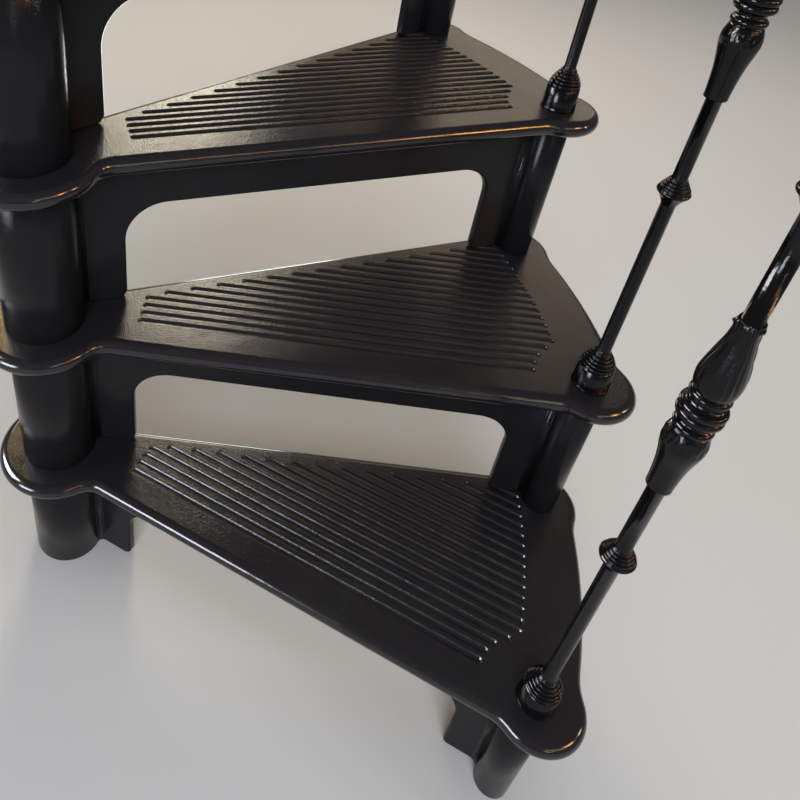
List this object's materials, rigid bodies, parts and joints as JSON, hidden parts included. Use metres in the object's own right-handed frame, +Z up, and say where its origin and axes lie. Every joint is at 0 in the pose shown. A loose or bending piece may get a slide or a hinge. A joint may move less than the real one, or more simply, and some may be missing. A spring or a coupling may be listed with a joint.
{
  "type": "spiral staircase",
  "caption": "Cast-iron spiral stair flight: grooved wedge treads on open risers stacked on a centre pole, with turned balusters and a helical handrail.",
  "frame": {"origin": "on the axis of the centre pole at floor level, on the flat underside of the pole", "axes": "+Z up along the pole; +X along the grooves of the first tread, from the pole to its nose; the flight climbs anticlockwise seen from above"},
  "size_m": [1.061, 0.6896, 2.1096],
  "materials": {
    "tread_iron": "thick gloss black paint over a sand-cast skin",
    "riser_iron": "gloss black paint",
    "baluster_iron": "gloss black paint",
    "pole_steel": "gloss black paint",
    "rail_iron": "gloss black paint"
  },
  "bodies": {
    "root": {"tread_01": "tread_iron", "tread_02": "tread_iron", "tread_03": "tread_iron", "tread_04": "tread_iron", "tread_05": "tread_iron", "tread_06": "tread_iron", "riser_01": "riser_iron", "riser_02": "riser_iron", "riser_03": "riser_iron", "riser_04": "riser_iron", "riser_05": "riser_iron", "riser_06": "riser_iron", "baluster_01": "baluster_iron", "baluster_02": "baluster_iron", "baluster_03": "baluster_iron", "baluster_04": "baluster_iron", "baluster_05": "baluster_iron", "baluster_06": "baluster_iron", "centre_pole": "pole_steel", "pole_cap": "riser_iron", "handrail": "rail_iron"}
  },
  "joints": []
}
